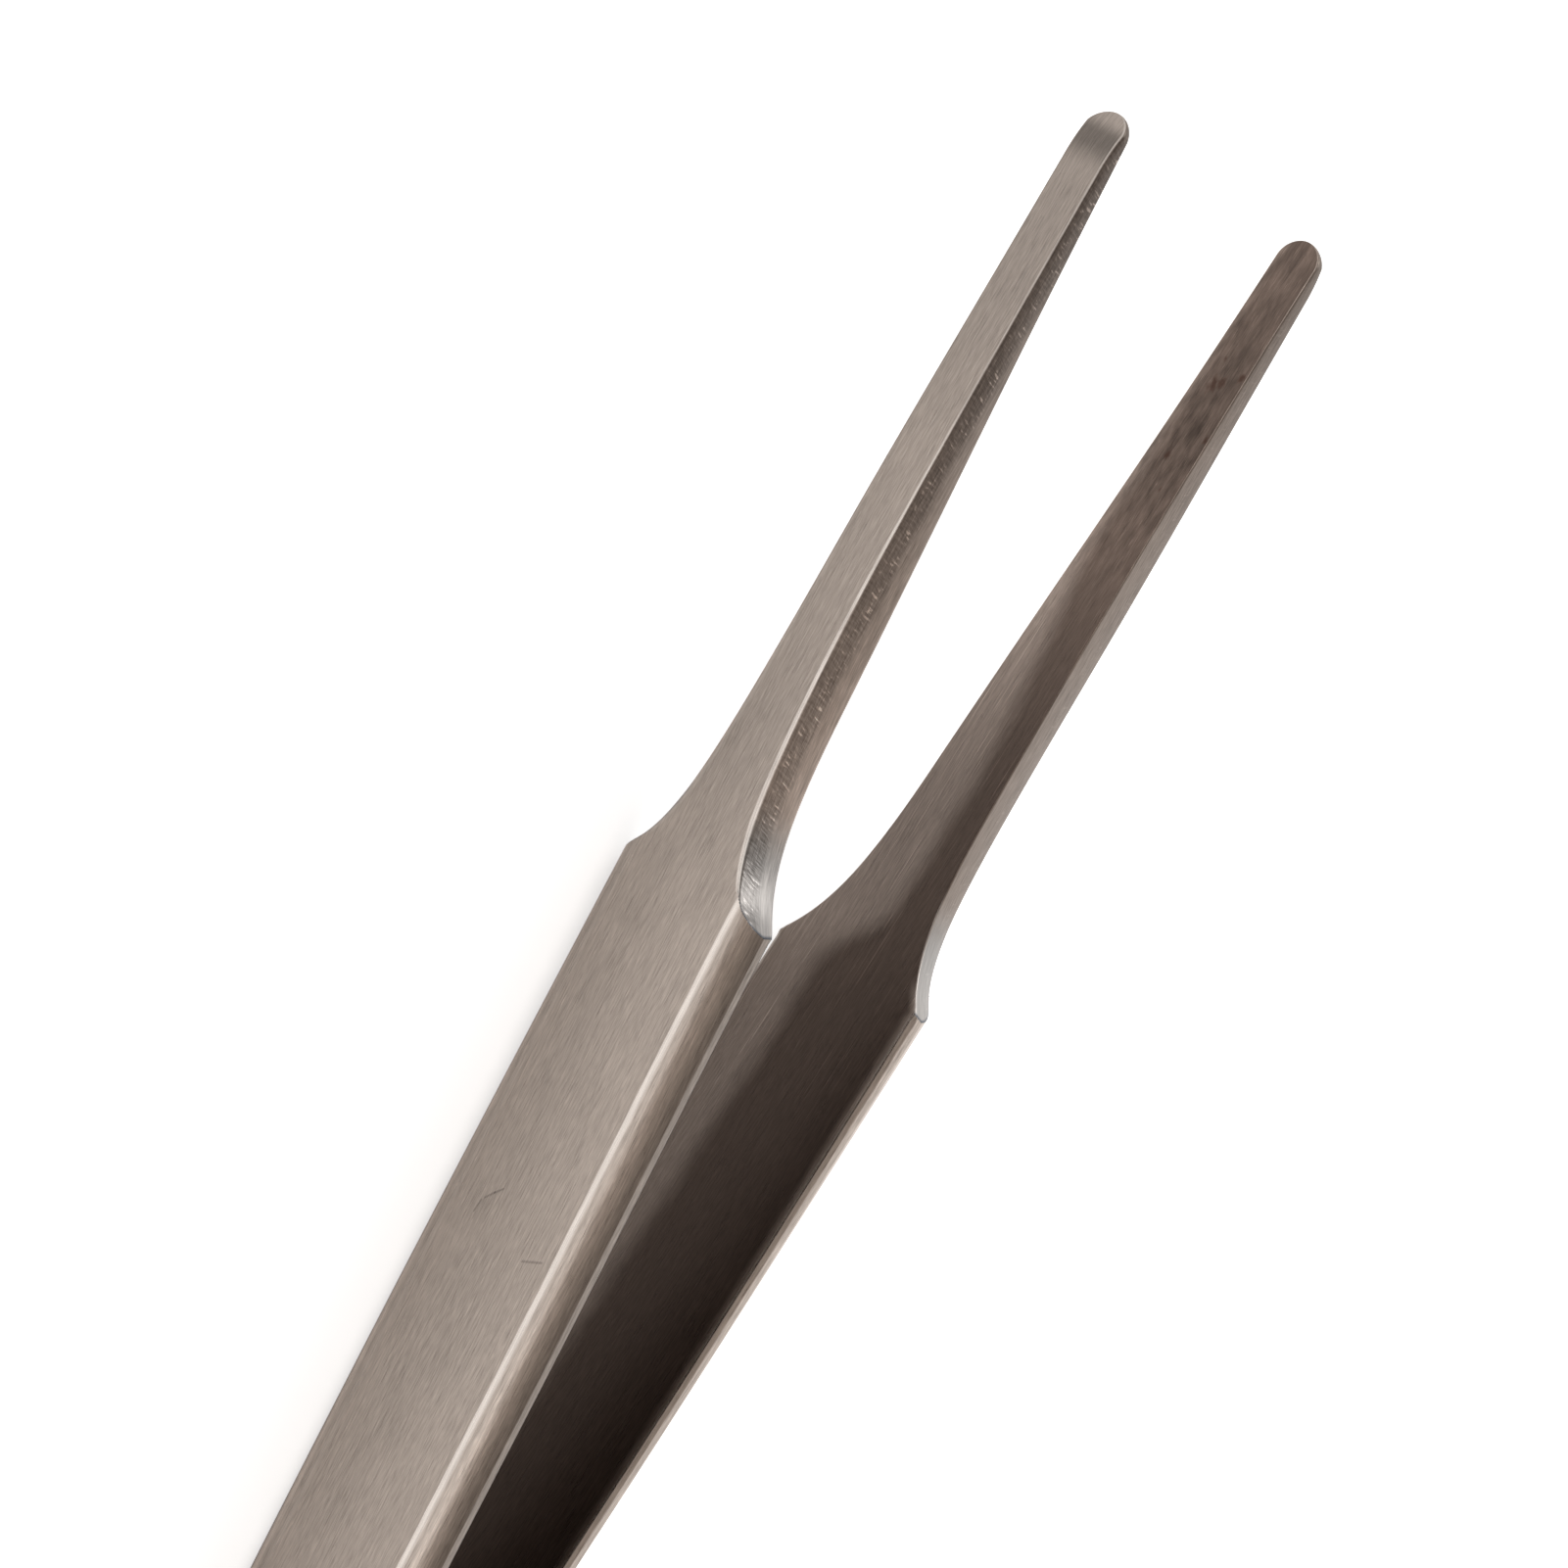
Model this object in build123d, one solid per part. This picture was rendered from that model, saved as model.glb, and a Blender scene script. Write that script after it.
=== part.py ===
"""Round tip tweezers: two sprung stainless steel arms, spot welded face to face at the tail.

Each arm is one bar. It is forged into a bowed leaf, its long outer edges are rounded, the sides of
its blade are ground away from the shoulder forward, and its tip is thinned and rounded.

The tweezers lie on the lower long edges of their arms. X runs along them towards the tips, Y runs
from one arm to the other, and the origin is below their middle, on the surface that they lie on.
"""
import os
from math import asin, cos, sin

from build123d import *

os.makedirs("parts", exist_ok=True)

# Places along the tweezers, in millimetres from the tail end
length = 120.0
weld_length = 10.0  # the arms lie face to face up to here
root_x = 28.0
middle_x = 60.0
blade_length = 40.0  # shoulder to tip end
blade_half_length = 20.0  # shoulder to the middle of the blade
thinned_length = 10.0  # the blade is thin over this last stretch

# Clear distance between the inner faces at those places: the bow of the arms
root_gap = 2.74
middle_gap = 7.72
shoulder_gap = 10.18
blade_gap = 12.0
thinned_gap = 13.14
tip_gap = 14.46
tip_slope = 0.066  # each arm still leans out by this much at its tip

# Thickness of an arm at those places
tail_thickness = 1.2
root_thickness = 1.25
middle_thickness = 1.42
shoulder_thickness = 1.65
blade_thickness = 1.64
thinned_thickness = 1.14
tip_thickness = 0.5

# Full width of the inner face of the body
tail_width = 6.6
grip_width = 11.5
shoulder_width = 10.86
grip_start_x = 36.0  # the sides are parallel from here to grip_end_x, where the tweezers lie on them
grip_end_x = 54.0
tail_side_slope = 0.09
shoulder_side_slope = -0.012

# Long edges of the body: the back rounds off down to a narrow square land
land_height = 0.54
tail_edge_inset = 2.0  # how far the flat of the back stays in from the side
shoulder_edge_inset = 1.62

# Ground blade: the full width left at the inner face and at the back
tip_inner_width = 2.78
blade_inner_width = 3.94
neck_inner_width = 4.92
tip_back_width = 2.68
blade_back_width = 3.12
neck_back_width = 3.54
neck_inner_length = 10.0  # over these lengths the grinding wheel runs out into the shoulder
neck_back_length = 12.0
shoulder_back_width = 9.0
shoulder_back_offset = 0.3
neck_slope = 0.048
shoulder_inner_slope = 0.95
shoulder_back_slope = 1.3
run_out_fullness = 0.75

# Ends
tail_corner_radius = 2.0
tip_round_length = 1.15
tip_roll_length = 2.5  # over this length the back rolls down to the tip's edge
tip_edge_thickness = 0.15

# Long edges of the blade, once they are stoned
blade_back_radius = 0.22
blade_arris_radius = 0.1

# Spot welds, which show as shallow dimples in the backs
weld_spot_radius = 1.1
weld_spot_depth = 0.08
weld_spot_places = (3.1, 7.3)

# Working allowances
overrun = 1.0  # stock and cutters run past the finished faces by this much
lead_in = 0.04  # a rounding cut starts this far off its face, and so crosses it at an angle
weld_stock = 0.1  # the stock is this much too thick at the weld before it is cut flat
grip_stock = 0.02  # and this much too wide on each side of the grip before the sides are cut flat
section_count = 15
grinding_steps = 16

shoulder_x = length - blade_length
blade_x = shoulder_x + blade_half_length
thinned_x = length - thinned_length


def height(curve, x):
    """Y of a planar curve where it passes x."""
    return curve.intersect(Plane(origin=(x, 0, 0), z_dir=(1, 0, 0)))[0].Y


def blend(start, end, x, start_x, end_x):
    """A size that goes evenly from start to end between two places."""
    share = min(max((x - start_x) / (end_x - start_x), 0), 1)
    return start + (end - start) * share


# Side view of an arm: its inner face and its back, from the end of the weld to past the tip
side_view = [
    (weld_length, 0, tail_thickness),
    (root_x, root_gap / 2, root_thickness),
    (middle_x, middle_gap / 2, middle_thickness),
    (shoulder_x, shoulder_gap / 2, shoulder_thickness),
    (blade_x, blade_gap / 2, blade_thickness),
    (thinned_x, thinned_gap / 2, thinned_thickness),
    (length + overrun, tip_gap / 2, tip_thickness),
]
inner_curve = Spline(*[(x, y) for x, y, _ in side_view], tangents=[(1, 0), (1, tip_slope)])
back_curve = Spline(*[(x, y + t) for x, y, t in side_view], tangents=[(1, 0), (1, 0)])

# Half plan of the stock
grip_start = (grip_start_x, grip_width / 2 + grip_stock)
grip_end = (grip_end_x, grip_width / 2 + grip_stock)
tail_side = (-overrun, tail_width / 2)
shoulder_side = (shoulder_x, shoulder_width / 2)
side_curve = Curve() + [
    Spline(tail_side, grip_start, tangents=[(1, tail_side_slope), (1, 0)]),
    Line(grip_start, grip_end),
    Spline(grip_end, shoulder_side, tangents=[(1, 0), (1, shoulder_side_slope)]),
]


def blade_curve(tip, middle, neck, neck_length, end, end_offset, end_slope):
    """Half plan of one edge of the ground side, from past the tip to past the shoulder."""
    neck_point = Vector(shoulder_x + neck_length, neck / 2)
    end_point = Vector(shoulder_x + end_offset, end / 2)
    run = neck_point.X - end_point.X
    rise = end_point.Y - neck_point.Y
    meet = (end_slope * run - rise) / (end_slope - neck_slope)
    corner = neck_point + Vector(-meet, neck_slope * meet)
    straight = Spline(
        (length + overrun, tip / 2),
        (blade_x, middle / 2),
        neck_point,
        tangents=[(-1, 0), (-1, neck_slope)],
    )
    run_out = Bezier(
        neck_point,
        neck_point + (corner - neck_point) * run_out_fullness,
        end_point + (corner - end_point) * run_out_fullness,
        end_point,
    )
    past = Line(end_point, end_point + Vector(-overrun, end_slope * overrun))
    return Curve() + [straight, run_out, past]


blade_inner_curve = blade_curve(
    tip_inner_width,
    blade_inner_width,
    neck_inner_width,
    neck_inner_length,
    shoulder_width,
    0,
    shoulder_inner_slope,
)
blade_back_curve = blade_curve(
    tip_back_width,
    blade_back_width,
    neck_back_width,
    neck_back_length,
    shoulder_back_width,
    shoulder_back_offset,
    shoulder_back_slope,
)


def body_section(x):
    """The bar's section at x: flat inner face, narrow lands, rounded edges and flat back."""
    inner, back = -weld_stock, tail_thickness
    if x >= weld_length:
        inner, back = height(inner_curve, x), height(back_curve, x)
    half = height(side_curve, min(x, shoulder_x))
    inset = blend(tail_edge_inset, shoulder_edge_inset, x, weld_length, shoulder_x)
    drop = back - max(inner, 0) - land_height
    radius = (inset**2 + drop**2) / (2 * drop)
    half_turn = asin(inset / radius) / 2
    land_y = back - drop
    middle_y = back - radius * (1 - cos(half_turn))
    middle_z = half - inset + radius * sin(half_turn)
    lands = Polyline((land_y, half), (inner, half), (inner, -half), (land_y, -half))
    lower_edge = ThreePointArc((land_y, -half), (middle_y, -middle_z), (back, inset - half))
    flat_back = Line((back, inset - half), (back, half - inset))
    upper_edge = ThreePointArc((back, half - inset), (middle_y, middle_z), (land_y, half))
    plane = Plane(origin=(x, 0, 0), x_dir=(0, 1, 0), z_dir=(1, 0, 0))
    return plane * make_face(lands + lower_edge + flat_back + upper_edge)


def forged_bar():
    """The bowed leaf before any grinding, at full width to past the tip."""
    bowed_length = length + overrun / 2 - weld_length
    places = [weld_length + bowed_length * i / section_count for i in range(section_count + 1)]
    return loft([body_section(x) for x in [-overrun, weld_length / 2, *places]])


def ground_side():
    """What the wheel takes off the upper side of the blade, from past the tip into the shoulder."""
    start_x = shoulder_x - overrun / 2
    inner_side, back_side = [], []
    for i in range(grinding_steps + 1):
        # The steps are short in the tight curve of the shoulder and long down the blade
        x = start_x + (length + overrun / 2 - start_x) * (i / grinding_steps) ** 2
        inner = Vector(x, height(inner_curve, x), height(blade_inner_curve, x))
        back = Vector(x, height(back_curve, x), height(blade_back_curve, x))
        inner_side.append(inner + (inner - back) * overrun / 2)
        back_side.append(back + (back - inner) * overrun / 2)
    face = Face.make_surface_from_curves(Spline(*inner_side), Spline(*back_side))
    return extrude(face, amount=grip_width, dir=(0, 0, 1))


def plan_outline():
    """The plan that the bar is trimmed to: rounded tail corners, parallel grip and round tip."""
    radius = tail_corner_radius
    tail_half = height(side_curve, radius) + lead_in
    tip_start = length - tip_round_length
    tip_half = height(blade_inner_curve, tip_start) + lead_in
    side = grip_width / 2
    outline = Polyline((radius, -tail_half), (radius, -side), (tip_start, -side), (tip_start, -tip_half))
    outline += EllipticalCenterArc((tip_start, 0), tip_round_length, tip_half, start_angle=-90, arc_size=180)
    outline += Polyline((tip_start, tip_half), (tip_start, side), (radius, side), (radius, tail_half))
    outline += JernArc((radius, tail_half), (-1, 0), radius, 90)
    outline += Line((0, tail_half - radius), (0, radius - tail_half))
    outline += JernArc((0, radius - tail_half), (0, -1), radius, 90)
    return extrude(Plane.XZ * make_face(outline), amount=-tip_gap)


def tip_roll():
    """What is taken off the back where it rolls down to the thin edge of the tip."""
    start_x, past_x = length - tip_roll_length, length + overrun
    start_y = height(back_curve, start_x) + lead_in
    past_y = start_y + overrun
    end_y = height(inner_curve, length) + tip_edge_thickness
    roll = TangentArc((start_x, start_y), (length, end_y), tangent=(1, 0))
    past = Polyline((length, end_y), (past_x, end_y), (past_x, past_y), (start_x, past_y), (start_x, start_y))
    return extrude(Pos(0, 0, -grip_width / 2) * make_face(roll + past), amount=grip_width)


def weld_spots():
    """The shallow round hollows that the welding electrodes press into the back."""
    radius = (weld_spot_radius**2 + weld_spot_depth**2) / (2 * weld_spot_depth)
    centre_y = tail_thickness + radius - weld_spot_depth
    return [Pos(x, centre_y, 0) * Sphere(radius) for x in weld_spot_places]


def stoned(arm):
    """The arm with the long edges of its blade rounded, less so beside the gripping face."""

    def long_edges(arm):
        forward = arm.edges().filter_by(lambda edge: edge.bounding_box().min.X > shoulder_x - overrun)
        return forward.filter_by(lambda edge: edge.length > blade_length / 2).sort_by(Axis.Y)

    arm = fillet(long_edges(arm)[-2:], blade_back_radius)
    return fillet(long_edges(arm)[:2], blade_arris_radius)


upper_side = ground_side()
near_arm = stoned(forged_bar() - upper_side - mirror(upper_side, about=Plane.XY))
near_arm = (near_arm & plan_outline()) - tip_roll() - weld_spots()
near_arm = Pos(-length / 2, 0, grip_width / 2) * near_arm

export_step(near_arm, "parts/left_arm.step")
export_step(mirror(near_arm, about=Plane.XZ), "parts/right_arm.step")
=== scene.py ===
from math import cos, pi, radians, sin, sqrt

import bpy
import numpy as np
from mathutils import Matrix, Vector


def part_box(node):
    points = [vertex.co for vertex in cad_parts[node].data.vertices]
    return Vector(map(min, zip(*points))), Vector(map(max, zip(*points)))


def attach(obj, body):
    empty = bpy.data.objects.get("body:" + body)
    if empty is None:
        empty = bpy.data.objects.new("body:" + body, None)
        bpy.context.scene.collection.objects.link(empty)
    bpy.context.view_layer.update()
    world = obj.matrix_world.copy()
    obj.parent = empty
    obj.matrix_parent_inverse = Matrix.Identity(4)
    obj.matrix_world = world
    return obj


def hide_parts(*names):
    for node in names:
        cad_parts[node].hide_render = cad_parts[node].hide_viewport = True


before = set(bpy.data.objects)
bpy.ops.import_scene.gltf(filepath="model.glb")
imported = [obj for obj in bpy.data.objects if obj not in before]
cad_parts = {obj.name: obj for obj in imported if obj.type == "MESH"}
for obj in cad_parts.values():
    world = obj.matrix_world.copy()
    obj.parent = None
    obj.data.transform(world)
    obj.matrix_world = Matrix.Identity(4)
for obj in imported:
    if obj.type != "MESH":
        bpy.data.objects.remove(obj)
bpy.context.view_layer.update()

# The view
# The tweezers lie on a table and are looked down on from beside their left arm. The picture is
# turned, so that the tips point up and to the right and the tail runs out of the lower edge.

aim_point = Vector((0.02613, 0.00221, 0.00351))
view_azimuth = radians(88.12)
view_elevation = radians(47.10)
view_roll = radians(121.57)
view_distance = 0.360

camera = bpy.data.objects.new("camera", bpy.data.cameras.new("camera"))
camera.data.sensor_width = 36
camera.data.lens = 180.1
camera.data.clip_start = 0.01
camera.matrix_world = (
    Matrix.Translation(aim_point)
    @ Matrix.Rotation(view_azimuth + pi / 2, 4, "Z")
    @ Matrix.Rotation(pi / 2 - view_elevation, 4, "X")
    @ Matrix.Rotation(view_roll, 4, "Z")
    @ Matrix.Translation((0, 0, view_distance))
)
bpy.context.scene.collection.objects.link(camera)
bpy.context.scene.camera = camera
bpy.context.scene.view_settings.view_transform = "Standard"

# The two arms
# Each is one bar of stainless steel, forged to a bowed leaf and brushed along its length. The sides
# of the blade are ground away across the bar from the shoulder forward, and the tip is thinned,
# rolled over and rounded. The arms meet face to face at the tail and are spot welded there.

mm = 0.001
tail_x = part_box("left_arm")[0].x  # places along an arm are counted from here
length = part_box("left_arm")[1].x - tail_x
grip_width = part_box("left_arm")[1].z
weld_end = 10 * mm
shoulder = length - 40 * mm
blade_middle = length - 20 * mm
thinned = length - 10 * mm
past_tip = length + 1 * mm

# Place, half of the gap between the arms, thickness of the arm
side_view = [
    (weld_end, 0, 1.2 * mm),
    (28 * mm, 1.37 * mm, 1.25 * mm),
    (60 * mm, 3.86 * mm, 1.42 * mm),
    (shoulder, 5.09 * mm, 1.65 * mm),
    (blade_middle, 6.0 * mm, 1.64 * mm),
    (thinned, 6.57 * mm, 1.14 * mm),
    (past_tip, 7.23 * mm, 0.5 * mm),
]
tip_slope = 0.066

# Half plan of the bar: it widens from the tail to the grip and narrows slightly to the shoulder
tail_width = 6.6 * mm
shoulder_width = 10.86 * mm
grip_start, grip_end = 36 * mm, 54 * mm
tail_side_slope, shoulder_side_slope = 0.09, -0.012

# Long edges of the body: a square land, then an arc that ends this far in from the side
land_height = 0.54 * mm
tail_inset, shoulder_inset = 2.0 * mm, 1.62 * mm

# Full width that the wheel leaves at the inner face and at the back, and how it runs out
tip_inner_width, blade_inner_width, neck_inner_width = 2.78 * mm, 3.94 * mm, 4.92 * mm
tip_back_width, blade_back_width, neck_back_width = 2.68 * mm, 3.12 * mm, 3.54 * mm
neck_inner_length, neck_back_length = 10 * mm, 12 * mm
shoulder_back_width, shoulder_back_offset = 9 * mm, 0.3 * mm
shoulder_inner_slope, shoulder_back_slope = 0.95, 1.3
neck_slope = 0.048
run_out_fullness = 0.75

# Ends, and the radius of the edges beside the gripping face and at the back of the blade
tail_corner = 2.0 * mm
tip_round = 1.15 * mm
tip_roll = 2.5 * mm
tip_edge = 0.15 * mm
body_inner_radius, blade_inner_radius = 0.25 * mm, 0.08 * mm
shoulder_back_radius, neck_back_radius, tip_back_radius = 0.04 * mm, 0.22 * mm, 0.1 * mm


def smooth_curve(points, first_slope, last_slope):
    """The curve of even bend through the points, as a function of the place along the arm."""
    x, y = np.array(points).T
    gap = np.diff(x)
    rise = np.diff(y) / gap
    rows = np.diag(np.full(len(x), 1.0))
    slopes = np.full(len(x), first_slope, float)
    slopes[-1] = last_slope
    for i in range(1, len(x) - 1):
        before, after = 1 / gap[i - 1], 1 / gap[i]
        rows[i, i - 1 : i + 2] = before, 2 * (before + after), after
        slopes[i] = 3 * (rise[i - 1] * before + rise[i] * after)
    slopes = np.linalg.solve(rows, slopes)

    def value(at):
        i = np.clip(np.searchsorted(x, at) - 1, 0, len(gap) - 1)
        t = (at - x[i]) / gap[i]
        bend = (1 - t) * (slopes[i] - rise[i]) - t * (slopes[i + 1] - rise[i])
        return y[i] + (y[i + 1] - y[i]) * t + t * (1 - t) * gap[i] * bend

    return value


def ground_curve(tip, middle, neck, neck_length, end, end_offset, end_slope):
    """Half plan of one edge of the ground side: nearly straight, then swept out at the shoulder."""
    neck_x, end_x = shoulder + neck_length, shoulder + end_offset
    points = [(neck_x, neck / 2), (blade_middle, middle / 2), (past_tip, tip / 2)]
    straight = smooth_curve(points, -neck_slope, 0)
    meet = (end_slope * (neck_x - end_x) - (end - neck) / 2) / (end_slope - neck_slope)
    start, finish = np.array((neck_x, neck / 2)), np.array((end_x, end / 2))
    corner = start + (-meet, neck_slope * meet)
    first_pull = start + (corner - start) * run_out_fullness
    last_pull = finish + (corner - finish) * run_out_fullness
    t = np.linspace(1, 0, 200)[:, None]
    swept = (1 - t) ** 3 * start + 3 * t * (1 - t) ** 2 * first_pull
    swept = swept + 3 * t**2 * (1 - t) * last_pull + t**3 * finish

    def value(at):
        behind = end / 2 + (end_x - at) * end_slope
        sweep = np.interp(at, swept[:, 0], swept[:, 1])
        return np.where(at < end_x, behind, np.where(at < neck_x, sweep, straight(at)))

    return value


inner_face = smooth_curve([(x, y) for x, y, _ in side_view], 0, tip_slope)
back_face = smooth_curve([(x, y + t) for x, y, t in side_view], 0, 0)
tail_side = smooth_curve(
    [(-1 * mm, tail_width / 2), (grip_start, grip_width / 2)],
    tail_side_slope,
    0,
)
front_side = smooth_curve(
    [(grip_end, grip_width / 2), (shoulder, shoulder_width / 2)],
    0,
    shoulder_side_slope,
)
ground_inner = ground_curve(
    tip_inner_width,
    blade_inner_width,
    neck_inner_width,
    neck_inner_length,
    shoulder_width,
    0,
    shoulder_inner_slope,
)
ground_back = ground_curve(
    tip_back_width,
    blade_back_width,
    neck_back_width,
    neck_back_length,
    shoulder_back_width,
    shoulder_back_offset,
    shoulder_back_slope,
)


def body_side(at):
    """Half width of the bar before its blade is ground."""
    side = np.where(at < grip_start, tail_side(at), grip_width / 2)
    return np.where(at > grip_end, front_side(np.minimum(at, shoulder)), side)


def plan_trim(at):
    """Half width left by the rounded corners of the tail and by the round tip."""
    tail_half = body_side(tail_corner)
    into_tail = np.clip(1 - at / tail_corner, 0, 1)
    tail = tail_half - tail_corner * (1 - np.sqrt(1 - into_tail**2))
    tip_start = length - tip_round
    into_tip = np.clip((at - tip_start) / tip_round, 0, 1)
    tip = ground_inner(tip_start) * np.sqrt(1 - into_tip**2)
    return np.where(at < tail_corner, tail, np.where(at > tip_start, tip, grip_width))


def rolled_back(at):
    """Height of the back, with the roll down to the thin edge of the tip."""
    start = length - tip_roll
    top = back_face(start)
    drop = top - inner_face(length) - tip_edge
    radius = (tip_roll**2 + drop**2) / (2 * drop)
    rolled = top - radius + np.sqrt(radius**2 - np.clip(at - start, 0, tip_roll) ** 2)
    straight = np.where(at < weld_end, side_view[0][2], back_face(np.maximum(at, weld_end)))
    return np.where(at > start, np.minimum(straight, rolled), straight)


# Stretches of the arm: end, number of stations. They are closest together where the form turns
quarter = np.linspace(0, pi / 2, 25)
stations = [tail_corner * (1 - np.cos(quarter))]
for end, count in [
    (weld_end, 45),
    (shoulder - 0.5 * mm, 90),
    (shoulder + 1.5 * mm, 90),
    (shoulder + 12 * mm, 60),
    (length - tip_roll, 60),
    (length - tip_round, 24),
]:
    stations.append(np.linspace(stations[-1][-1], end, count + 1)[1:])
stations.append(length - tip_round * (1 - np.sin(quarter[1:])))
stations = np.concatenate([[0, 0], *stations])
opened = np.ones(len(stations))
opened[:2] = 0, 0.9  # the flat end of the tail: its centre, a ring just inside its edge, and its edge

# The edge beside the gripping face turns crisp across the shoulder, and the blade's back edge is
# stoned round from the shoulder on
crisp_from, crisp_to = shoulder - 0.3 * mm, shoulder + 0.3 * mm
stoned_places = [shoulder, shoulder + 4 * mm, thinned]
stoned_radii = [shoulder_back_radius, neck_back_radius, tip_back_radius]

rails = {
    "along": stations,
    "inner": np.where(stations < weld_end, 0, inner_face(np.maximum(stations, weld_end))),
    "back": rolled_back(stations),
    "side": body_side(stations),
    "inset": np.interp(stations, [weld_end, shoulder], [tail_inset, shoulder_inset]),
    "ground_inner": ground_inner(stations),
    "ground_back": ground_back(stations),
    "trim": plan_trim(stations),
    "inner_round": np.interp(stations, [crisp_from, crisp_to], [body_inner_radius, blade_inner_radius]),
    "back_round": np.interp(stations, stoned_places, stoned_radii),
    "opened": opened,
}


class Flow:
    """A socket in a node tree. Arithmetic on it adds Math nodes, and made() adds any other node."""

    def __init__(self, tree, socket=None):
        self.tree, self.socket = tree, socket

    def made(self, kind, settings=None, sockets=None, out=0):
        """A new node: its settings are set first, then its sockets are given values or links."""
        node = self.tree.nodes.new(kind)
        for name, value in (settings or {}).items():
            setattr(node, name, value)
        for name, value in (sockets or {}).items():
            if isinstance(value, Flow):
                self.tree.links.new(value.socket, node.inputs[name])
            else:
                node.inputs[name].default_value = value
        return Flow(self.tree, node.outputs[out] if node.outputs else None)

    def also(self, name):
        """Another output of the same node."""
        return Flow(self.tree, self.socket.node.outputs[name])

    def math(self, operation, *values):
        return self.made("ShaderNodeMath", {"operation": operation}, dict(enumerate(values)))

    def __add__(self, other):
        return self.math("ADD", self, other)

    def __sub__(self, other):
        return self.math("SUBTRACT", self, other)

    def __mul__(self, other):
        return self.math("MULTIPLY", self, other)

    def __truediv__(self, other):
        return self.math("DIVIDE", self, other)

    def __radd__(self, other):
        return self.math("ADD", other, self)

    def __rsub__(self, other):
        return self.math("SUBTRACT", other, self)

    def __rmul__(self, other):
        return self.math("MULTIPLY", other, self)

    def least(self, other):
        return self.math("MINIMUM", self, other)

    def most(self, other):
        return self.math("MAXIMUM", self, other)

    def above(self, limit):
        return self.math("GREATER_THAN", self, limit)

    def root(self):
        return self.math("SQRT", self.most(0.0))

    def clamped(self):
        return self.least(1.0).most(0.0)

    def rise(self, start, end):
        """0 up to start and 1 from end on, with a smooth step between."""
        span = {"Value": self, "From Min": start, "From Max": end}
        return self.made("ShaderNodeMapRange", {"interpolation_type": "SMOOTHSTEP"}, span)

    def band(self, start, full, fade, end):
        """0 up to start, 1 between full and fade, and 0 again from end on."""
        return self.rise(start, full) * (1 - self.rise(fade, end))

    def swing(self, amount):
        """A noise of 0 to 1, turned into a change of this size about nothing."""
        return (self - 0.5) * amount


# Steps round half of a section, over the inner face, the side and the back
inner_steps, side_steps, back_steps = 12, 36, 30
half_steps = inner_steps + side_steps + back_steps

arm_sizes = {
    "Side": 1.0,
    "Land Height": land_height,
    "Weld Spot 1": 3.1 * mm,
    "Weld Spot 2": 7.3 * mm,
    "Weld Spot Radius": 1.1 * mm,
    "Weld Spot Depth": 0.08 * mm,
}


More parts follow.
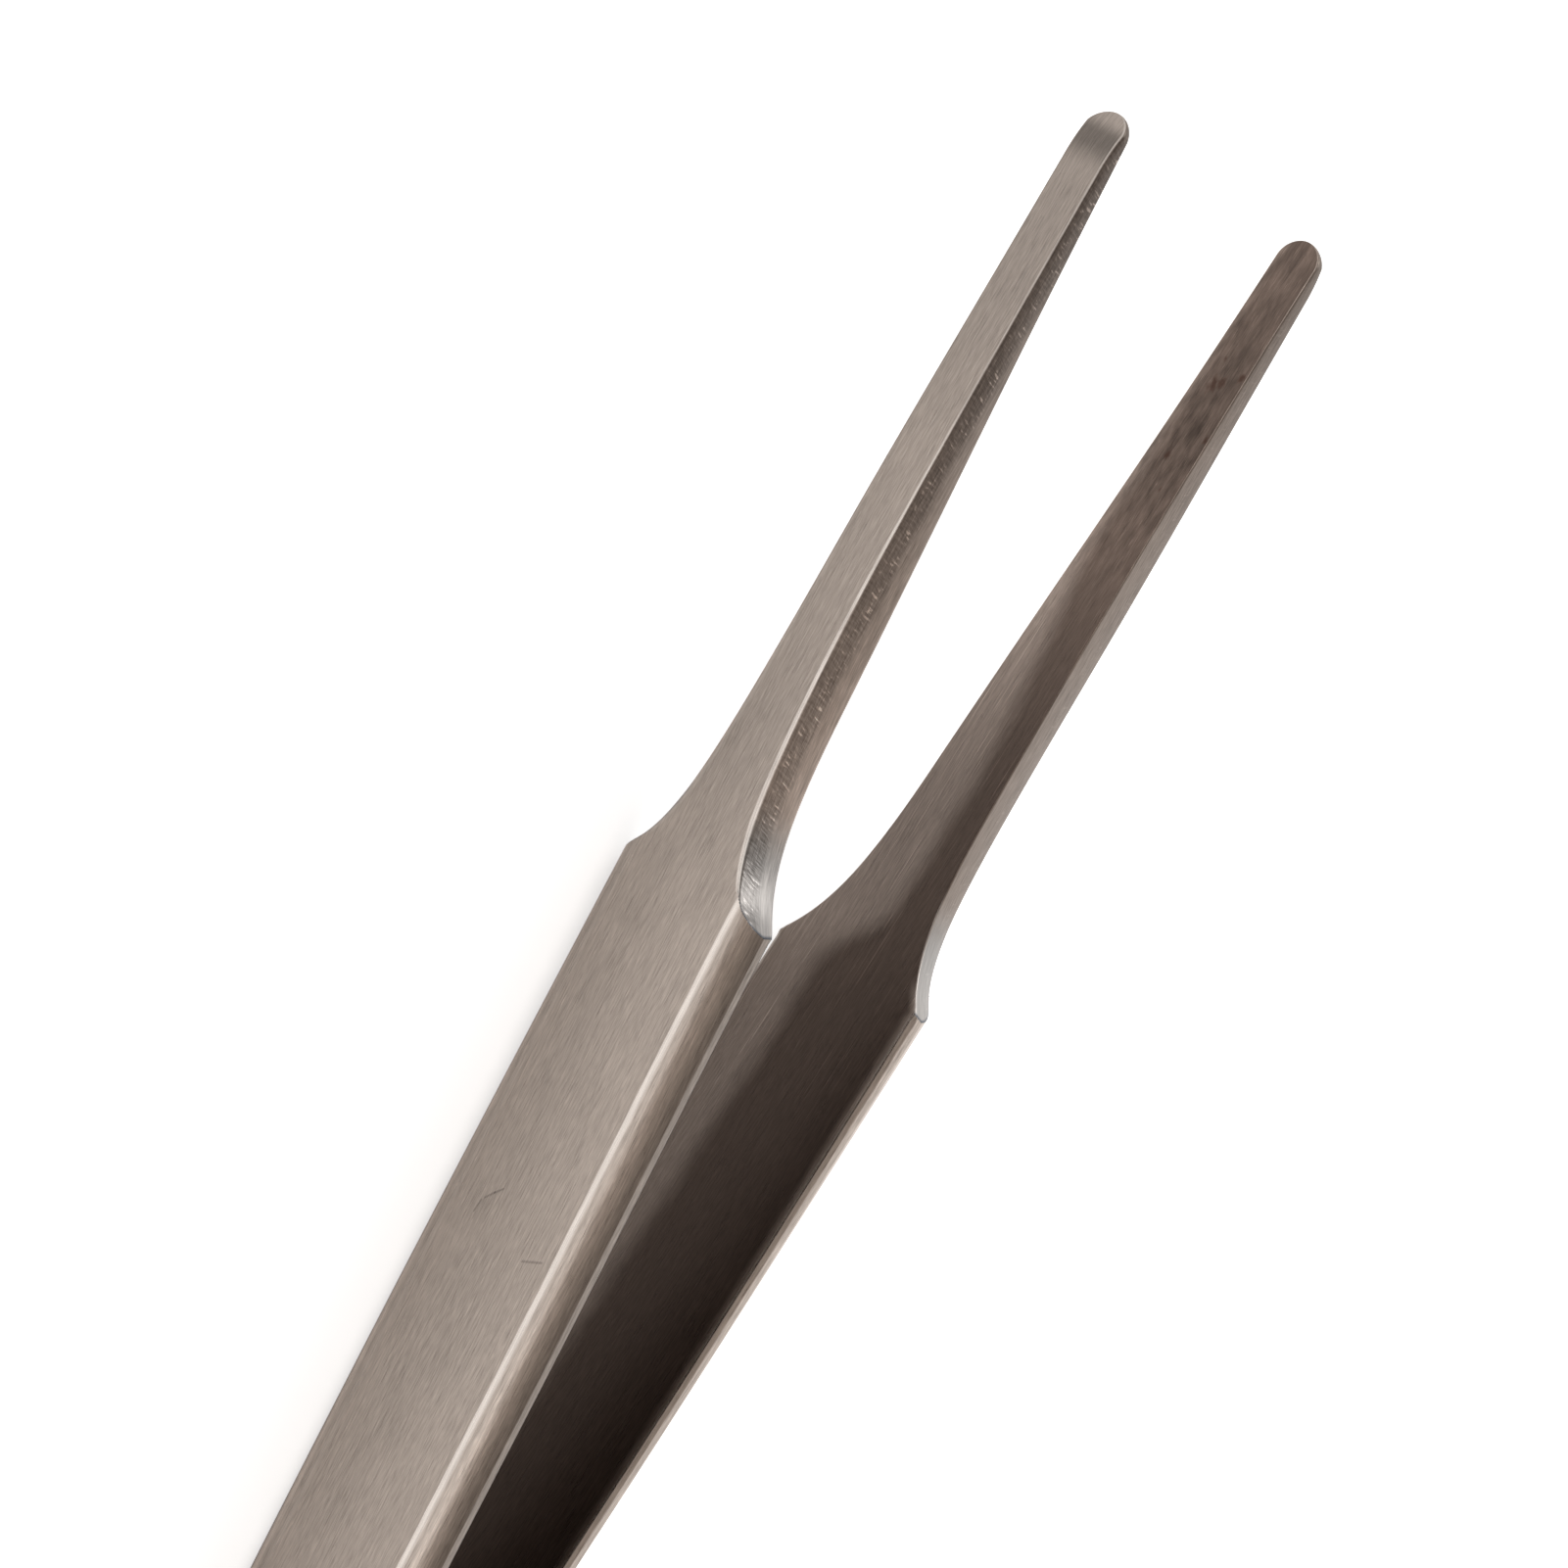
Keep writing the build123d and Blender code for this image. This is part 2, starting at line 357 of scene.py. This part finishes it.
def section_tree():
    """Geometry Nodes that lay one closed section round every station and join them into a skin."""
    tree = bpy.data.node_groups.new("arm_sections", "GeometryNodeTree")
    face = tree.interface
    face.new_socket("Rails", in_out="INPUT", socket_type="NodeSocketGeometry")
    for name, size in arm_sizes.items():
        face.new_socket(name, in_out="INPUT", socket_type="NodeSocketFloat").default_value = size
    face.new_socket("Finish", in_out="INPUT", socket_type="NodeSocketMaterial")
    face.new_socket("Arm", in_out="OUTPUT", socket_type="NodeSocketGeometry")
    start = tree.nodes.new("NodeGroupInput")
    given = {socket.name: Flow(tree, socket) for socket in start.outputs if socket.name}
    flow = Flow(tree)

    # One row of points for each station, and one point more than steps, because the ends meet
    count = flow.made("GeometryNodeAttributeDomainSize", {}, {"Geometry": given["Rails"]})
    row = 2 * half_steps + 1
    grid = flow.made("GeometryNodeMeshGrid", {}, {"Vertices X": count, "Vertices Y": row})
    index = flow.made("GeometryNodeInputIndex")
    station = index.math("FLOOR", index / row)
    from_middle = half_steps - (index - station * row)
    step = half_steps - from_middle.math("ABSOLUTE", from_middle)
    upward = from_middle.math("SIGN", from_middle)

    def rail(name):
        stored = flow.made("GeometryNodeInputNamedAttribute", {"data_type": "FLOAT"}, {"Name": name})
        return flow.made(
            "GeometryNodeSampleIndex",
            {"data_type": "FLOAT", "domain": "POINT"},
            {"Geometry": given["Rails"], "Value": stored, "Index": station},
        )

    # Along the section: out over the inner face, up the side to the back, and in over the back.
    # The points are closest together at the corners
    out_over = (step / inner_steps).clamped()
    out_over = 1 - (1 - out_over) * (1 - out_over)
    up_side = ((step - inner_steps) / side_steps).clamped()
    in_over = ((step - inner_steps - side_steps) / back_steps).clamped()
    in_over = in_over * in_over.root()
    depth = (1 - up_side.math("COSINE", up_side * pi)) / 2

    inner, back, side, inset = rail("inner"), rail("back"), rail("side"), rail("inset")
    thickness = back - inner
    y = inner + thickness * depth

    # The body's side: a square land, then an arc that ends flush with the back
    drop = thickness - given["Land Height"]
    arc_radius = (inset * inset + drop * drop) / (drop * 2)
    above_centre = y - (back - arc_radius)
    arc = side - inset + (arc_radius * arc_radius - above_centre * above_centre).root()
    body = side.least(arc)

    # The ground side runs straight from its inner edge to its back edge
    ground = rail("ground_inner") + (rail("ground_back") - rail("ground_inner")) * depth
    is_ground = (body - ground).above(0.0)

    # Rounding of the inner edge and of the blade's back edge
    inner_round = rail("inner_round").least(thickness * 0.4)
    back_round = rail("back_round").least(thickness * 0.5)
    from_inner = (inner_round - (y - inner)).most(0.0)
    from_back = (back_round - (back - y)).most(0.0)
    worn = inner_round - (inner_round * inner_round - from_inner * from_inner).root()
    stoned = back_round - (back_round * back_round - from_back * from_back).root()
    edge = (body.least(ground).least(rail("trim")) - worn - stoned * is_ground).most(0.0)
    z = edge * out_over * (1 - in_over)

    # Dimples of the spot welds, pressed into the back
    x = rail("along")
    dent = 0.0
    for spot in ("Weld Spot 1", "Weld Spot 2"):
        off = x - given[spot]
        share = (off * off + z * z) / (given["Weld Spot Radius"] * given["Weld Spot Radius"])
        dent = (1 - share).most(0.0) + dent
    on_flat_back = depth.above(0.999)  # depth is 1 there, apart from rounding
    dented = y - dent * given["Weld Spot Depth"] * on_flat_back

    # What the finish reads at each point: how far it lies past the inner edge and past the back
    # edge, which is below 0 on the inner face and on the back, whether it is on the side and on the
    # ground part of it, and how deep the wheel has cut. The tail's end face is kept well off the
    # inner face, so that it doesn't take that face's colour
    chord = ((back - y) * arc_radius * 2).root()
    opened = rail("opened")
    off_face = (1 - opened) * 100 * mm
    marks = {
        "past_inner_edge": y - inner - edge * (1 - out_over) + off_face,
        "past_back_edge": chord + (back - y - chord) * is_ground - edge * in_over,
        "on_side": depth.above(0.0) * (1 - in_over.above(0.0)),
        "on_ground": is_ground * depth.above(0.0) * (1 - in_over.above(0.0)),
        "cut_depth": body - ground,
    }

    # The tail end is closed to a point in the middle of its flat face
    middle = (inner + back) / 2
    place = flow.made(
        "ShaderNodeCombineXYZ",
        {},
        {
            "X": x + tail_x,
            "Y": (middle + (dented - middle) * opened) * given["Side"],
            "Z": z * opened * upward + grip_width / 2,
        },
    )
    skin = flow.made("GeometryNodeSetPosition", {}, {"Geometry": grid, "Position": place})
    for name, value in marks.items():
        skin = flow.made(
            "GeometryNodeStoreNamedAttribute",
            {"data_type": "FLOAT", "domain": "POINT"},
            {"Geometry": skin, "Name": name, "Value": value},
        )
    skin = flow.made("GeometryNodeMergeByDistance", {}, {"Geometry": skin, "Distance": 1e-6})
    is_right = given["Side"].math("LESS_THAN", given["Side"], 0.0)
    skin = flow.made("GeometryNodeFlipFaces", {}, {"Mesh": skin, "Selection": is_right})
    skin = flow.made("GeometryNodeSetShadeSmooth", {}, {"Geometry": skin})
    skin = flow.made("GeometryNodeRealizeInstances", {}, {"Geometry": skin})
    skin = flow.made("GeometryNodeSetMaterial", {}, {"Geometry": skin, "Material": given["Finish"]})
    end = tree.nodes.new("NodeGroupOutput")
    tree.links.new(skin.socket, end.inputs["Arm"])
    return tree


# Colours of the steel: its backs, the gripping faces in painted shade above and in painted light low
# down, a painted highlight on the right arm's upper inner edge, burnished edges that also carry
# painted highlights, the sides that the wheel ground, and the start of its cut
face_tone = (0.395, 0.34, 0.3, 1)
inner_shaded_tone, inner_lit_low_tone = (0.1, 0.074, 0.061, 1), (0.25, 0.203, 0.175, 1)
edge_highlight_tone = (0.5, 0.42, 0.37, 1)
burnish_and_highlight_tone = (0.82, 0.755, 0.7, 1)
ground_tone, facet_tone = (0.42, 0.35, 0.305, 1), (0.47, 0.445, 0.425, 1)
cut_tone = (0.07, 0.085, 0.11, 1)
rust_tone = (0.085, 0.032, 0.014, 1)

# Stretches along the arm, in millimetres from the tail: where a change starts and where it is full,
# and, where there are four, where it fades and where it ends
shoulder_line = (shoulder / mm + 0.4, shoulder / mm + 1.6)
# These two darken the blade and then the tip in painted shade
blade_painted_shade, tip_painted_shade = (78, 88), (98, 118)
scratched = (70, 76, 96, 104)
# The first makes the gripping faces paler toward the tips in painted light, the second is where the
# tips are scuffed
inner_painted_light, inner_scuffs = (90, 106), (98, 106)
facet_ends = (82.5, 85.5)
wheel_pales, wheel_dulls = (82.5, 86), (86, 108)
arris_fades = (84, 86)
# Where the painted shade on the gripping faces climbs at the neck and drops toward the tips
painted_shade_rises, painted_shade_falls = (79, 84), (90, 106)
# Where painted shade darkens the roll of the tip
tip_roll_shade = (117.0, 118.4, 118.8, 119.6)

# Heights above the table, in millimetres
# Below the first span the steel is paler in painted light, and over the second the painted highlights
# on the edges grow
painted_low_light_span, upper_span = (1.8, 4.2), (5, 7)
# The painted shade on the gripping faces: its height, how far it climbs and drops, and its soft edge
painted_shade_height, painted_shade_rise, painted_shade_fall, painted_shade_soft = 3.6, 2.6, 2, 0.9

# Depths of the relief, in millimetres
grain_depth, fine_depth, wheel_depth, nick_depth, crown_depth = 0.004, 0.002, 0.02, 0.01, 0.24

# Nicks, in millimetres: both ends of each, as place along the arm and height above the table
nicks = [
    ((62.2, 3.4), (62.8, 3.5)),
    ((63.0, 3.65), (63.45, 4.1)),
    ((63.45, 4.1), (63.8, 4.5)),
    ((61.6, 7.85), (62.05, 9.05)),
]
nick_core, nick_width = 0.02, 0.09

# Rust, in millimetres: the middle of each spot, given in the same way, and its radius
rust_spots = [
    ((112.1, 5.5), 0.42),
    ((112.3, 5.95), 0.3),
    ((112.9, 6.9), 0.24),
    ((109.6, 7.1), 0.2),
    ((108.2, 5.5), 0.24),
    ((113.4, 5.3), 0.14),
    ((106.6, 6.3), 0.14),
]


def steel_finish():
    """Brushed stainless steel. The faces have long grain, the rounded edges start with a burnished line
    that painted highlights brighten and go on in painted light and shade to the land, the gripping
    faces carry painted shade and painted light, and the sides of the blade keep the marks of the wheel
    across them. Distances are in millimetres, and the shares say how much paler or darker each mark
    makes the steel."""
    material = bpy.data.materials.new("brushed_stainless_steel")
    material.use_nodes = True
    tree = material.node_tree
    flow = Flow(tree)

    def stored(name):
        return flow.made("ShaderNodeAttribute", {"attribute_name": name}, out="Fac")

    def streaks(lengthwise, crosswise, long, wide, seed):
        """Noise drawn out into streaks of about this length and width."""
        at = {"X": lengthwise / long, "Y": crosswise / wide, "Z": seed}
        at = flow.made("ShaderNodeCombineXYZ", {}, at)
        return flow.made("ShaderNodeTexNoise", {}, {"Vector": at, "Scale": 1.0, "Detail": 2.0})

    def mixed(start, end, share):
        return flow.made("ShaderNodeMix", {"data_type": "RGBA"}, {0: share, 6: start, 7: end}, out=2)

    place = flow.made("ShaderNodeTexCoord", out="Object")
    place = flow.made("ShaderNodeSeparateXYZ", {}, {"Vector": place})
    along = (place - tail_x) / mm
    across = place.also("Z") / mm
    is_left = place.also("Y").above(0.0)
    past_inner, past_back = stored("past_inner_edge") / mm, stored("past_back_edge") / mm
    on_side, on_ground = stored("on_side"), stored("on_ground")
    on_inner = 1 - past_inner.rise(0.0, 0.03)
    on_back = 1 - past_back.rise(-0.03, 0.0)
    on_round = on_side * (1 - on_ground)
    on_blade = along.rise(*shoulder_line)
    lay = across + (past_back + 20 - across) * on_side

    # Grain along the arm, with pale and dark dashes in it
    patches = streaks(along, lay, long=7, wide=2.4, seed=1.0)
    blotch = streaks(along, lay, long=1.3, wide=0.5, seed=12.0)
    grain = streaks(along, lay, long=2.2, wide=0.09, seed=2.0)
    fine = streaks(along, lay, long=0.7, wide=0.045, seed=3.0)
    pale = streaks(along, lay, long=0.9, wide=0.055, seed=4.0).rise(0.64, 0.76)
    dark = streaks(along, lay, long=0.6, wide=0.07, seed=5.0).rise(0.66, 0.78)
    dark = dark * patches.rise(0.4, 0.6)
    # The steel is paler low down, near the table, with more pale dashes there: painted light
    painted_low_light = 1 - across.rise(*painted_low_light_span)
    value = 1.04 + patches.swing(0.22) + grain.swing(0.9) + fine.swing(0.9)
    value = value + pale * (0.32 + painted_low_light * 0.35) - dark * 0.34 + painted_low_light * 0.1
    # The blade and then the tip are darkened in painted shade
    value = value * (1 - along.rise(*blade_painted_shade) * 0.12 - along.rise(*tip_painted_shade) * 0.16)

    # Long scratches on the gripping faces round the shoulder
    long_scratch = streaks(along, across, long=6, wide=0.06, seed=6.0).rise(0.62, 0.72) * on_inner
    value = value + long_scratch * along.band(*scratched) * 0.9
    # The gripping faces turn paler toward the tips in painted light
    value = value * (1 + along.rise(*inner_painted_light) * on_inner * 0.7)

    # Fine scuffs and blotches where the tips grip
    gripped = along.rise(*inner_scuffs) * on_inner
    value = value * (1 + (patches.swing(1.0) + blotch.swing(1.4) + pale * 0.5) * gripped)

    # Nicks in the back of the left arm
    nicked = 0.0
    for (x1, z1), (x2, z2) in nicks:
        span = sqrt((x2 - x1) ** 2 + (z2 - z1) ** 2)
        run, rise = (x2 - x1) / span, (z2 - z1) / span
        off_x, off_z = along - x1, across - z1
        reach = (off_x * run + off_z * rise).least(span).most(0.0)
        off_x, off_z = off_x - reach * run, off_z - reach * rise
        away = (off_x * off_x + off_z * off_z).root()
        nicked = (1 - away.rise(nick_core, nick_width)) + nicked
    nicked = nicked * is_left * on_back
    value = value * (1 - nicked * 0.3)

    # The rounded edges: a burnished line where they start, brightened by a painted highlight that is
    # strongest high up, then paler and then darker to the land in painted light and shade, darkest on
    # the left arm
    wander = streaks(along, 0.0, long=2.5, wide=1.0, seed=7.0) - 0.5
    turn = past_back + wander * 0.12
    upper = across.rise(*upper_span)
    line = turn.band(-0.07, 0.03, 0.16, 0.5) * (1 - on_ground) * (1 - on_blade)
    line = line * (0.85 + grain.swing(0.8)) * (0.12 + upper * 0.88)
    painted_edge_shading = turn.rise(0.45, 1.0) * 0.6 - turn.rise(1.1, 1.9) * (0.2 + is_left * 0.55)
    value = value * (1 + painted_edge_shading * on_round)

    # The stoned back edge of the blade carries a painted highlight, wide at the neck and thin at the
    # tip, and strongest high up
    width = 0.24 - (along - 82) * 0.008
    width = width.least(0.24).most(0.05)
    stoned = (past_back + width).rise(0.0, 0.1) * (1 - past_back.rise(0.0, 0.06)) * on_blade
    line = line.most(stoned * (0.7 + wander) * (0.2 + upper * 0.8))

    # Inner edges: a painted highlight, broadly on the body and as a thin broken line on the blade
    broad = past_inner.band(-0.12, -0.02, 0.06, 0.26) * (1 - on_blade)
    thin = past_inner.band(-0.04, -0.01, 0.03, 0.07)
    thin = thin * is_left.most(1 - along.rise(*arris_fades))
    line = line.most(thin * (0.5 + wander)).most(broad * 0.2)

    # The wheel's cross marks, which are rough on the left arm's ground sides beside the back
    slant = along + past_back * 0.35
    cross = streaks(past_back, slant, long=0.4, wide=0.14, seed=8.0)
    sparse = streaks(along, past_back, long=0.8, wide=0.5, seed=9.0).rise(0.45, 0.6)
    fleck = cross.rise(0.56, 0.68) * sparse * past_back.band(0.12, 0.3, 0.75, 1.1)
    rough_zone = (1 - past_back.rise(0.7, 1.15)) * (0.15 + is_left * 0.85)
    wheel = 1 + (cross.swing(0.6) - 0.3 + fleck) * rough_zone
    paler = along.rise(*wheel_pales) * 0.7 - along.rise(*wheel_dulls) * 0.7
    wheel = wheel * (0.86 + is_left * paler)
    value = value * (1 + (wheel - 1) * on_ground)

    # The roll at the tip: a band of painted shade where it turns down, then the rim
    value = value * (1 - along.band(*tip_roll_shade) * on_back * 0.5)

    # Painted shade darkens the gripping faces, except low down and on the neck, where painted light
    # keeps them paler, and the right arm's upper edge carries a painted highlight
    shade_height = painted_shade_height + along.rise(*painted_shade_rises) * painted_shade_rise
    shade_height = shade_height - along.rise(*painted_shade_falls) * painted_shade_fall - patches.swing(1.5)
    in_painted_shade = (across - shade_height).rise(-painted_shade_soft, painted_shade_soft)
    inner_colour = mixed(inner_lit_low_tone, inner_shaded_tone, in_painted_shade)
    # A painted highlight along the right arm's upper inner edge
    painted_edge_highlight = past_inner.rise(-0.6, 0.3) * (1 - is_left) * (1 - on_blade) * upper
    inner_colour = mixed(inner_colour, edge_highlight_tone, painted_edge_highlight)

    # Rust on the gripping face of the right arm, near its tip
    blot = streaks(along, across, long=0.4, wide=0.25, seed=10.0) - 0.5
    rust = 0.0
    for (x, z), radius in rust_spots:
        off_x, off_z = (along - x) * 0.7, across - z
        away = (off_x * off_x + off_z * off_z).root() + blot * radius * 1.6
        rust = (1 - away.rise(0.1 * radius, radius)) + rust
    rust = (rust * on_inner * (1 - is_left)).clamped() * 0.8

    ground_colour = mixed(facet_tone, ground_tone, along.rise(*facet_ends))
    cut_line = (1 - (stored("cut_depth") / mm).rise(0.03, 0.16)) * on_ground
    colour = mixed(face_tone, inner_colour, on_inner)
    colour = mixed(colour, ground_colour, on_ground)
    colour = flow.made("ShaderNodeVectorMath", {"operation": "SCALE"}, {0: colour, "Scale": value})
    # The edges take the burnished colour, which also carries their painted highlights
    colour = mixed(colour, burnish_and_highlight_tone, line.clamped())
    colour = mixed(colour, cut_tone, cut_line * 0.85)
    colour = mixed(colour, rust_tone, rust)

    roughness = 0.3 + grain.swing(0.16) + on_ground * 0.08 - line * 0.06 + rust * 0.35

    # The relief: the grain, the wheel's marks and the nicks, and the slight crown of ground sides
    ridges = (grain * grain_depth + fine * fine_depth) * (1 - on_ground)
    furrows = cross * on_ground * rough_zone * wheel_depth
    whole = past_inner + past_back
    crown = past_inner * past_back / (whole * whole).most(0.01) * on_ground * crown_depth
    height = ridges + furrows + crown - nicked * nick_depth
    bump = flow.made("ShaderNodeBump", {}, {"Strength": 1.0, "Distance": mm, "Height": height})

    shader = tree.nodes["Principled BSDF"]
    tree.links.new(colour.socket, shader.inputs["Base Color"])
    tree.links.new(roughness.socket, shader.inputs["Roughness"])
    tree.links.new((1 - rust * 0.8).socket, shader.inputs["Metallic"])
    tree.links.new(bump.socket, shader.inputs["Normal"])
    return material


def arm_mesh(name, side):
    """One arm: the stations carry the rails as attributes, and the tree turns them into the skin."""
    mesh = bpy.data.meshes.new(name + "_rails")
    mesh.from_pydata([(x, 0, 0) for x in stations], [], [])
    for rail, values in rails.items():
        stored = mesh.attributes.new(rail, "FLOAT", "POINT")
        stored.data.foreach_set("value", values.astype(np.float32))
    maker = bpy.data.objects.new(name + "_maker", mesh)
    bpy.context.scene.collection.objects.link(maker)
    modifier = maker.modifiers.new("sections", "NODES")
    modifier.node_group = sections
    inputs = [item for item in sections.interface.items_tree if item.in_out == "INPUT"]
    sockets = {item.name: item.identifier for item in inputs}
    for size_name, size in {**arm_sizes, "Side": side}.items():
        modifier[sockets[size_name]] = size
    modifier[sockets["Finish"]] = steel
    shown = maker.evaluated_get(bpy.context.evaluated_depsgraph_get())
    arm = bpy.data.objects.new(name, bpy.data.meshes.new_from_object(shown))
    bpy.data.objects.remove(maker)
    bpy.context.scene.collection.objects.link(arm)
    return arm


sections = section_tree()
steel = steel_finish()
for node, side in (("left_arm", 1.0), ("right_arm", -1.0)):
    arm = arm_mesh(node + "_steel", side)
    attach(arm, "root")
    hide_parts(node)

# The table and the light
# A plain pale table top in a dim room. A curved white screen stands behind the tweezers, from the
# table up to overhead, and a soft lamp stands off their tips.

table_half = 2.0
table_shade = 0.8
table_glow = 0.68  # as it is seen in the steel
shadow_white, open_gain = 0.62, 0.15  # as the camera sees it: in the shadow, and what the open adds
shadow_reach = 0.025
screen_radius, screen_top = 1.8, radians(62)
screen_rows, screen_columns = 12, 48
screen_shade, screen_glow = 0.2, 0.75
room_colour = (0.33, 0.295, 0.27, 1)
lamp_width, lamp_height, lamp_power = 0.5, 0.4, 2.0
lamp_azimuth, lamp_elevation, lamp_distance = radians(10), radians(33), 0.9


def staged(name, points, faces, finish):
    """Adds a thing that stands round the tweezers and is no part of them."""
    mesh = bpy.data.meshes.new(name)
    mesh.from_pydata(points, [], faces)
    mesh.materials.append(finish)
    made = bpy.data.objects.new(name, mesh)
    bpy.context.scene.collection.objects.link(made)


def white_finish(name, shade, glow):
    """A matt white surface that also glows, with the strength that glow(flow) gives."""
    material = bpy.data.materials.new(name)
    material.use_nodes = True
    material.cycles.emission_sampling = "NONE"
    tree = material.node_tree
    tree.nodes.remove(tree.nodes["Principled BSDF"])
    flow = Flow(tree)
    emission = flow.made("ShaderNodeEmission", {}, {"Strength": glow(flow)})
    matt = flow.made("ShaderNodeBsdfDiffuse", {}, {"Color": (shade, shade, shade, 1)})
    both = flow.made("ShaderNodeAddShader", {}, {0: emission, 1: matt})
    tree.links.new(both.socket, tree.nodes["Material Output"].inputs["Surface"])
    return material


def table_light(flow):
    """The table is seen white by the camera and in the steel, and keeps the tweezers' shadow."""
    camera_ray = flow.made("ShaderNodeLightPath", out="Is Camera Ray")
    in_steel = camera_ray.also("Is Glossy Ray").most(camera_ray.also("Is Transmission Ray"))
    reach = {"Distance": shadow_reach}
    open_sky = flow.made("ShaderNodeAmbientOcclusion", {"samples": 2}, reach, "AO")
    seen = camera_ray * (shadow_white + open_sky * open_gain)
    return seen + in_steel * open_sky * open_sky * table_glow


corners = [(-1, -1), (1, -1), (1, 1), (-1, 1)]
points = [(x * table_half, y * table_half, 0) for x, y in corners]
staged("table", points, [(0, 1, 2, 3)], white_finish("table", table_shade, table_light))

points, faces = [], []
for i in range(screen_rows + 1):
    for j in range(screen_columns + 1):
        up, around = screen_top * i / screen_rows, pi + pi * j / screen_columns
        out, height = screen_radius * cos(up), screen_radius * sin(up)
        points.append((out * cos(around), out * sin(around), height))
for i in range(screen_rows):
    for j in range(screen_columns):
        first = i * (screen_columns + 1) + j
        above = first + screen_columns + 1
        faces.append((first, first + 1, above + 1, above))
staged("screen", points, faces, white_finish("screen", screen_shade, lambda flow: screen_glow))

world = bpy.data.worlds.new("dim_room")
world.use_nodes = True
world.node_tree.nodes["Background"].inputs["Color"].default_value = room_colour
bpy.context.scene.world = world

lamp = bpy.data.objects.new("tip_lamp", bpy.data.lights.new("tip_lamp", "AREA"))
lamp.data.shape = "RECTANGLE"
lamp.data.size, lamp.data.size_y = lamp_width, lamp_height
lamp.data.energy = lamp_power
level = cos(lamp_elevation)
toward = Vector((level * cos(lamp_azimuth), level * sin(lamp_azimuth), sin(lamp_elevation)))
lamp.location = toward * lamp_distance
lamp.rotation_mode = "QUATERNION"
lamp.rotation_quaternion = toward.to_track_quat("Z", "Y")
bpy.context.scene.collection.objects.link(lamp)
